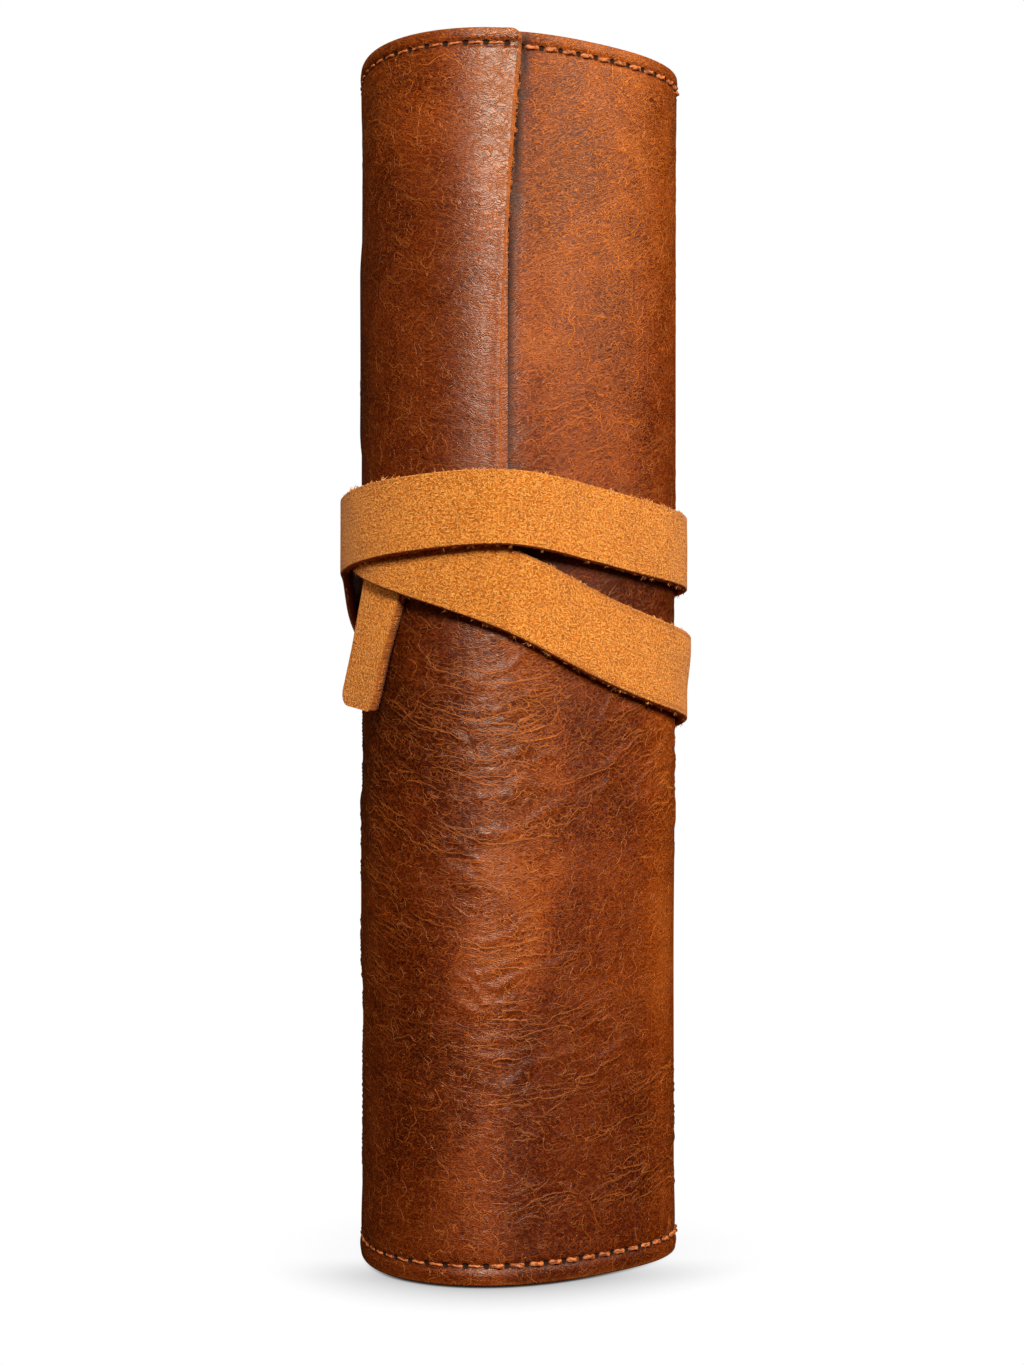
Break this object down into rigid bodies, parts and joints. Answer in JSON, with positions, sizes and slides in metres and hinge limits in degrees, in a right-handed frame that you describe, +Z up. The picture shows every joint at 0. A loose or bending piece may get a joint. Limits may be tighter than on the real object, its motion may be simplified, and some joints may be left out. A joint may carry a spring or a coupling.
{
  "type": "brush roll case",
  "caption": "Rolled leather case with sewn brush slots inside, held shut by a long strap wound round it; it unrolls flat.",
  "frame": {"origin": "middle of the rolled case's outline, strap included, at its bottom edge", "axes": "+Z up along the roll, +Y to the back, +X to the right seen from the flap edge's side"},
  "size_m": [0.0713, 0.0722, 0.24],
  "materials": {
    "cover_leather": "waxed pull-up leather, brown with worn orange marks",
    "pocket_leather": "thin vegetable-tanned leather",
    "strap_leather": "suede side out, tan",
    "rivet_brass": "antique, satin"
  },
  "bodies": {
    "fold_01": {"shell_01": "cover_leather", "pocket_01": "pocket_leather"},
    "fold_02": {"shell_02": "cover_leather", "pocket_02": "pocket_leather"},
    "fold_03": {"shell_03": "cover_leather", "pocket_03": "pocket_leather"},
    "fold_04": {"shell_04": "cover_leather", "pocket_04": "pocket_leather"},
    "fold_05": {"shell_05": "cover_leather", "pocket_05": "pocket_leather"},
    "fold_06": {"shell_06": "cover_leather", "pocket_06": "pocket_leather"},
    "fold_07": {"shell_07": "cover_leather", "pocket_07": "pocket_leather"},
    "fold_08": {"shell_08": "cover_leather", "pocket_08": "pocket_leather"},
    "fold_09": {"shell_09": "cover_leather", "pocket_09": "pocket_leather"},
    "fold_10": {"shell_10": "cover_leather", "pocket_10": "pocket_leather"},
    "fold_11": {"shell_11": "cover_leather", "pocket_11": "pocket_leather"},
    "fold_12": {"shell_12": "cover_leather"},
    "fold_13": {"shell_13": "cover_leather"},
    "fold_14": {"shell_14": "cover_leather"},
    "fold_15": {"shell_15": "cover_leather"},
    "fold_16": {"shell_16": "cover_leather"},
    "fold_17": {"shell_17": "cover_leather", "strap_01": "strap_leather", "strap_tail": "strap_leather"},
    "fold_18": {"shell_18": "cover_leather", "strap_02": "strap_leather"},
    "fold_19": {"shell_19": "cover_leather", "strap_03": "strap_leather"},
    "fold_20": {"shell_20": "cover_leather", "strap_04": "strap_leather", "strap_rivets": "rivet_brass"},
    "wrap_05": {"strap_05": "strap_leather"},
    "wrap_06": {"strap_06": "strap_leather"},
    "wrap_07": {"strap_07": "strap_leather"},
    "wrap_08": {"strap_08": "strap_leather"},
    "wrap_09": {"strap_09": "strap_leather"},
    "wrap_10": {"strap_10": "strap_leather"},
    "wrap_11": {"strap_11": "strap_leather"}
  },
  "joints": [
    {"name": "unroll", "type": "hinge", "parent": "fold_15", "child": "fold_16", "pos_m": [-0.01528, 0.02873, 0.12], "axis": [0, 0, -1], "range_deg": [0, 54]},
    {"name": "fold_17_hinge", "type": "hinge", "parent": "fold_16", "child": "fold_17", "pos_m": [-0.03144, 0.0014, 0.12], "axis": [0, 0, -1], "range_deg": [0, 54]},
    {"name": "fold_18_hinge", "type": "hinge", "parent": "fold_17", "child": "fold_18", "pos_m": [-0.01671, -0.02841, 0.12], "axis": [0, 0, -1], "range_deg": [0, 54]},
    {"name": "fold_19_hinge", "type": "hinge", "parent": "fold_18", "child": "fold_19", "pos_m": [0.01781, -0.02858, 0.12], "axis": [0, 0, -1], "range_deg": [0, 54]},
    {"name": "fold_20_hinge", "type": "hinge", "parent": "fold_19", "child": "fold_20", "pos_m": [0.03515, 0.0014, 0.12], "axis": [0, 0, -1], "range_deg": [0, 54]},
    {"name": "fold_14_hinge", "type": "hinge", "parent": "fold_15", "child": "fold_14", "pos_m": [0.01609, 0.0284, 0.12], "axis": [0, 0, 1], "range_deg": [0, 54]},
    {"name": "fold_13_hinge", "type": "hinge", "parent": "fold_14", "child": "fold_13", "pos_m": [0.03129, 0.0014, 0.12], "axis": [0, 0, 1], "range_deg": [0, 54]},
    {"name": "fold_12_hinge", "type": "hinge", "parent": "fold_13", "child": "fold_12", "pos_m": [0.0157, -0.02493, 0.12], "axis": [0, 0, 1], "range_deg": [0, 54]},
    {"name": "fold_11_hinge", "type": "hinge", "parent": "fold_12", "child": "fold_11", "pos_m": [-0.01451, -0.0246, 0.12], "axis": [0, 0, 1], "range_deg": [0, 54]},
    {"name": "fold_10_hinge", "type": "hinge", "parent": "fold_11", "child": "fold_10", "pos_m": [-0.02914, 0.0014, 0.12], "axis": [0, 0, 1], "range_deg": [0, 54]},
    {"name": "fold_09_hinge", "type": "hinge", "parent": "fold_10", "child": "fold_09", "pos_m": [-0.01413, 0.02674, 0.12], "axis": [0, 0, 1], "range_deg": [0, 54]},
    {"name": "fold_08_hinge", "type": "hinge", "parent": "fold_09", "child": "fold_08", "pos_m": [0.01494, 0.0264, 0.12], "axis": [0, 0, 1], "range_deg": [0, 54]},
    {"name": "fold_07_hinge", "type": "hinge", "parent": "fold_08", "child": "fold_07", "pos_m": [0.02899, 0.0014, 0.12], "axis": [0, 0, 1], "range_deg": [0, 54]},
    {"name": "fold_06_hinge", "type": "hinge", "parent": "fold_07", "child": "fold_06", "pos_m": [0.01455, -0.02294, 0.12], "axis": [0, 0, 1], "range_deg": [0, 54]},
    {"name": "fold_05_hinge", "type": "hinge", "parent": "fold_06", "child": "fold_05", "pos_m": [-0.00961, -0.01611, 0.12], "axis": [0, 0, 1], "range_deg": [0, 54]},
    {"name": "fold_04_hinge", "type": "hinge", "parent": "fold_05", "child": "fold_04", "pos_m": [-0.01934, 0.0014, 0.12], "axis": [0, 0, 1], "range_deg": [0, 54]},
    {"name": "fold_03_hinge", "type": "hinge", "parent": "fold_04", "child": "fold_03", "pos_m": [-0.00923, 0.01825, 0.12], "axis": [0, 0, 1], "range_deg": [0, 54]},
    {"name": "fold_02_hinge", "type": "hinge", "parent": "fold_03", "child": "fold_02", "pos_m": [0.01004, 0.01792, 0.12], "axis": [0, 0, 1], "range_deg": [0, 54]},
    {"name": "fold_01_hinge", "type": "hinge", "parent": "fold_02", "child": "fold_01", "pos_m": [0.01919, 0.0014, 0.12], "axis": [0, 0, 1], "range_deg": [0, 54]},
    {"name": "strap_05_hinge", "type": "hinge", "parent": "fold_20", "child": "wrap_05", "pos_m": [0.01784, 0.03143, 0.12], "axis": [0, 0, -1], "range_deg": [0, 64.8]},
    {"name": "strap_06_hinge", "type": "hinge", "parent": "wrap_05", "child": "wrap_06", "pos_m": [-0.01643, 0.03072, 0.12], "axis": [0, 0, -1], "range_deg": [0, 64.8]},
    {"name": "strap_07_hinge", "type": "hinge", "parent": "wrap_06", "child": "wrap_07", "pos_m": [-0.03539, 0.0014, 0.12], "axis": [0, 0, -1], "range_deg": [0, 64.8]},
    {"name": "strap_08_hinge", "type": "hinge", "parent": "wrap_07", "child": "wrap_08", "pos_m": [-0.01786, -0.0304, 0.12], "axis": [0, 0, -1], "range_deg": [0, 64.8]},
    {"name": "strap_09_hinge", "type": "hinge", "parent": "wrap_08", "child": "wrap_09", "pos_m": [0.01861, -0.02997, 0.12], "axis": [0, 0, -1], "range_deg": [0, 64.8]},
    {"name": "strap_10_hinge", "type": "hinge", "parent": "wrap_09", "child": "wrap_10", "pos_m": [0.03585, 0.0014, 0.12], "axis": [0, 0, -1], "range_deg": [0, 64.8]},
    {"name": "strap_11_hinge", "type": "hinge", "parent": "wrap_10", "child": "wrap_11", "pos_m": [0.01809, 0.03186, 0.12], "axis": [0, 0, -1], "range_deg": [0, 64.8]}
  ],
  "couplings": [
    {"joint": "fold_17_hinge", "follows": "unroll", "ratio": 1},
    {"joint": "fold_18_hinge", "follows": "unroll", "ratio": 1},
    {"joint": "fold_19_hinge", "follows": "unroll", "ratio": 1},
    {"joint": "fold_20_hinge", "follows": "unroll", "ratio": 1},
    {"joint": "fold_14_hinge", "follows": "unroll", "ratio": 1},
    {"joint": "fold_13_hinge", "follows": "unroll", "ratio": 1},
    {"joint": "fold_12_hinge", "follows": "unroll", "ratio": 1},
    {"joint": "fold_11_hinge", "follows": "unroll", "ratio": 1},
    {"joint": "fold_10_hinge", "follows": "unroll", "ratio": 1},
    {"joint": "fold_09_hinge", "follows": "unroll", "ratio": 1},
    {"joint": "fold_08_hinge", "follows": "unroll", "ratio": 1},
    {"joint": "fold_07_hinge", "follows": "unroll", "ratio": 1},
    {"joint": "fold_06_hinge", "follows": "unroll", "ratio": 1},
    {"joint": "fold_05_hinge", "follows": "unroll", "ratio": 1},
    {"joint": "fold_04_hinge", "follows": "unroll", "ratio": 1},
    {"joint": "fold_03_hinge", "follows": "unroll", "ratio": 1},
    {"joint": "fold_02_hinge", "follows": "unroll", "ratio": 1},
    {"joint": "fold_01_hinge", "follows": "unroll", "ratio": 1},
    {"joint": "strap_05_hinge", "follows": "unroll", "ratio": 1.2},
    {"joint": "strap_06_hinge", "follows": "unroll", "ratio": 1.2},
    {"joint": "strap_07_hinge", "follows": "unroll", "ratio": 1.2},
    {"joint": "strap_08_hinge", "follows": "unroll", "ratio": 1.2},
    {"joint": "strap_09_hinge", "follows": "unroll", "ratio": 1.2},
    {"joint": "strap_10_hinge", "follows": "unroll", "ratio": 1.2},
    {"joint": "strap_11_hinge", "follows": "unroll", "ratio": 1.2}
  ]
}
